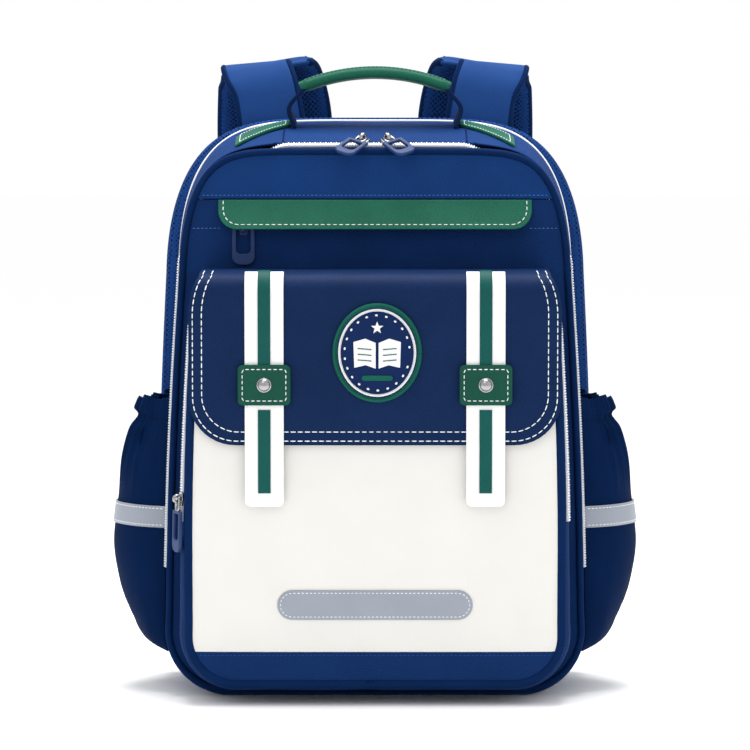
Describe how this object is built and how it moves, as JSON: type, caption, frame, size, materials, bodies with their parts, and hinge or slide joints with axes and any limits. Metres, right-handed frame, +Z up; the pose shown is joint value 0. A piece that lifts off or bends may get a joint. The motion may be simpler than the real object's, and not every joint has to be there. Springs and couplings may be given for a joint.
{
  "type": "child's school backpack",
  "caption": "Child's navy school backpack with an arched main bag, a white front pocket under a strapped flap, gathered side pockets, green trim and padded straps.",
  "frame": {"origin": "on the floor, in the middle of the bag's width, in the depth of the main bag", "axes": "+Z up, -Y out of the bag's front, +X to the right as seen from the front"},
  "size_m": [0.3824, 0.2374, 0.4615],
  "materials": {
    "navy_twill": "matte woven twill",
    "navy_flap": "satin grained leatherette",
    "navy_mesh": "matte air mesh over foam",
    "navy_plastic": "satin moulded plastic",
    "navy_webbing": "ribbed woven webbing",
    "green_leather": "satin grained leatherette with light stitching",
    "green_tape": "satin tape",
    "patch": "embroidered patch, navy and white inside a green rim",
    "white_cloth": "smooth coated cloth",
    "white_zip": "woven tape with moulded teeth",
    "grey_reflective": "reflective coated tape with light stitching",
    "steel": "polished nickel"
  },
  "bodies": {
    "bag": {"main_gusset": "navy_twill", "base_gusset": "navy_twill", "edge_roll": "navy_twill", "main_front_panel": "navy_twill", "top_panel": "navy_twill", "pocket_gusset": "navy_twill", "pocket_roll": "navy_twill", "pocket_band": "navy_twill", "side_pocket_left": "navy_twill", "side_pocket_right": "navy_twill", "strap_root_left": "navy_twill", "strap_root_right": "navy_twill", "foot_tab_left": "navy_twill", "foot_tab_right": "navy_twill", "flap": "navy_flap", "back_panel": "navy_mesh", "shoulder_strap_left": "navy_mesh", "shoulder_strap_right": "navy_mesh", "strap_buckle_left": "navy_plastic", "strap_buckle_right": "navy_plastic", "strap_web_left": "navy_webbing", "strap_web_right": "navy_webbing", "handle_web_left": "navy_webbing", "handle_web_right": "navy_webbing", "zip_cover": "green_leather", "keeper_left": "green_leather", "keeper_right": "green_leather", "handle_grip": "green_leather", "handle_tab_left": "green_leather", "handle_tab_right": "green_leather", "stripe_upper_left": "green_tape", "stripe_upper_right": "green_tape", "stripe_lower_left": "green_tape", "stripe_lower_right": "green_tape", "badge": "patch", "pocket_face": "white_cloth", "strip_upper_left": "white_cloth", "strip_upper_right": "white_cloth", "strip_lower_left": "white_cloth", "strip_lower_right": "white_cloth", "back_piping": "white_cloth", "main_zip": "white_zip", "front_zip": "white_zip", "front_reflector": "grey_reflective", "side_reflector_left": "grey_reflective", "side_reflector_right": "grey_reflective", "stud_left": "steel", "stud_right": "steel", "top_slider_left": "steel", "top_slider_right": "steel", "side_slider": "steel", "pocket_slider": "steel"},
    "top_pull_left": {"top_pull_left": "navy_plastic"},
    "top_pull_right": {"top_pull_right": "navy_plastic"},
    "side_pull": {"side_pull": "navy_plastic"},
    "pocket_pull": {"pocket_pull": "navy_plastic"}
  },
  "joints": [
    {"name": "top_pull_left_swing", "type": "hinge", "parent": "bag", "child": "top_pull_left", "pos_m": [-0.009, -0.01861, 0.39944], "axis": [-0.8362, 0.4806, 0.2643], "range_deg": [0, 85]},
    {"name": "top_pull_right_swing", "type": "hinge", "parent": "bag", "child": "top_pull_right", "pos_m": [0.009, -0.01861, 0.39944], "axis": [-0.8362, -0.4806, -0.2643], "range_deg": [0, 85]},
    {"name": "side_pull_swing", "type": "hinge", "parent": "bag", "child": "side_pull", "pos_m": [-0.13885, -0.07652, 0.14608], "axis": [-0.3605, 0.9328, 0], "range_deg": [0, 100]},
    {"name": "pocket_pull_swing", "type": "hinge", "parent": "bag", "child": "pocket_pull", "pos_m": [-0.094, -0.02859, 0.335], "axis": [-1, 0, 0], "range_deg": [0, 60]}
  ]
}
